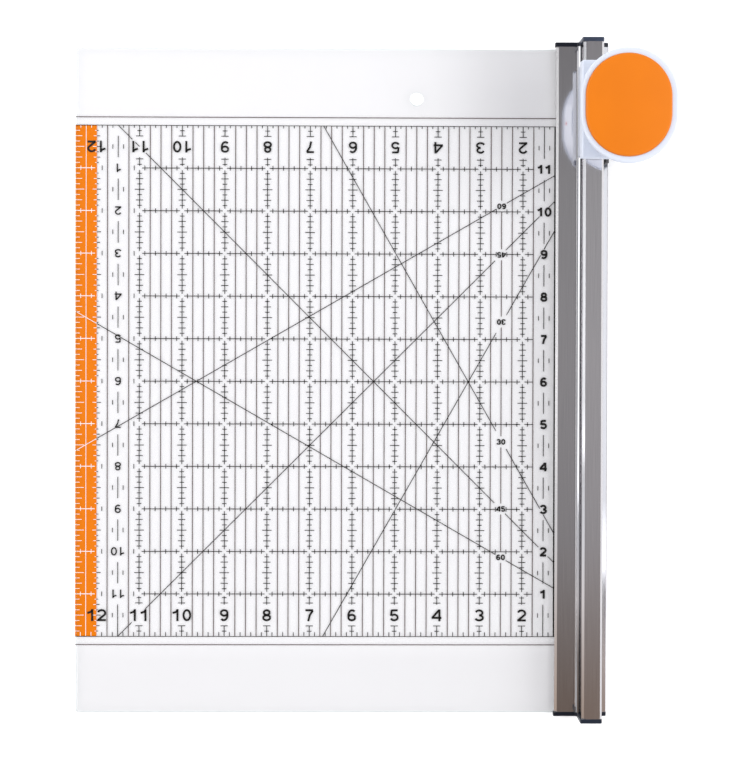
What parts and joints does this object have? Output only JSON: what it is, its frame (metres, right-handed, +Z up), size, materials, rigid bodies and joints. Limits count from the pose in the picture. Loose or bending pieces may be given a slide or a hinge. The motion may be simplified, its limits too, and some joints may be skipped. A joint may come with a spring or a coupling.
{
  "type": "rotary paper trimmer",
  "caption": "Clear ruler slab with an aluminium rail along one edge, and a sliding carriage whose sprung head presses a round cutting blade down beside the rail.",
  "frame": {"origin": "on the slab's underside, halfway along its length and 158.75 mm (6.25 in) left of the cutting line, so about halfway across", "axes": "+X right, from the slab's free edge towards the rail; +Y away from the user, along the rail; +Z up from the slab"},
  "size_m": [0.3487, 0.4002, 0.0502],
  "materials": {
    "clear_acrylic": "clear, polished",
    "brushed_aluminium": "brushed along its length",
    "dark_plastic": "satin moulded",
    "white_plastic": "satin moulded",
    "orange_plastic": "soft satin",
    "red_plastic": "gloss",
    "glide_plastic": "self-lubricating, satin",
    "blade_steel": "ground",
    "polished_steel": "polished",
    "plated_steel": "zinc plated",
    "screw_steel": "zinc plated",
    "spring_steel": "drawn wire",
    "bush_brass": "turned"
  },
  "bodies": {
    "ruler": {"ruler_plate": "clear_acrylic", "rail": "brushed_aluminium", "end_cap_far": "dark_plastic", "end_cap_near": "dark_plastic", "rail_screws": "screw_steel", "end_cap_screws": "screw_steel"},
    "carriage": {"saddle": "white_plastic", "glide_shoe_left": "glide_plastic", "glide_shoe_right": "glide_plastic", "glide_strip": "glide_plastic", "wiper_strip": "glide_plastic", "blade_guard": "white_plastic", "guard_screws": "screw_steel", "guide_post_near": "polished_steel", "guide_post_far": "polished_steel", "return_spring_near": "spring_steel", "return_spring_far": "spring_steel", "post_clips": "spring_steel"},
    "head": {"head_shell": "white_plastic", "grip_pad": "orange_plastic", "index_dot": "red_plastic", "guide_bush_near": "bush_brass", "guide_bush_far": "bush_brass", "blade_bracket": "plated_steel", "bracket_screws": "screw_steel", "blade_bolt": "plated_steel", "hub_washer": "plated_steel", "spring_washer": "spring_steel", "blade_nut": "plated_steel"},
    "blade": {"rotary_blade": "blade_steel"}
  },
  "joints": [
    {"name": "carriage_slide", "type": "slide", "parent": "ruler", "child": "carriage", "axis": [0, 1, 0], "range_m": [-0.3264, 0.0114]},
    {"name": "head_press", "type": "slide", "parent": "carriage", "child": "head", "axis": [0, 0, -1], "range_m": [0, 0.0033], "stiffness_N_per_m": 800, "springref_m": -0.006, "deforming": ["return_spring_near", "return_spring_far"]},
    {"name": "blade_spin", "type": "hinge", "parent": "head", "child": "blade", "pos_m": [0.1589, 0.1578, 0.025], "axis": [1, 0, 0], "continuous": true}
  ]
}
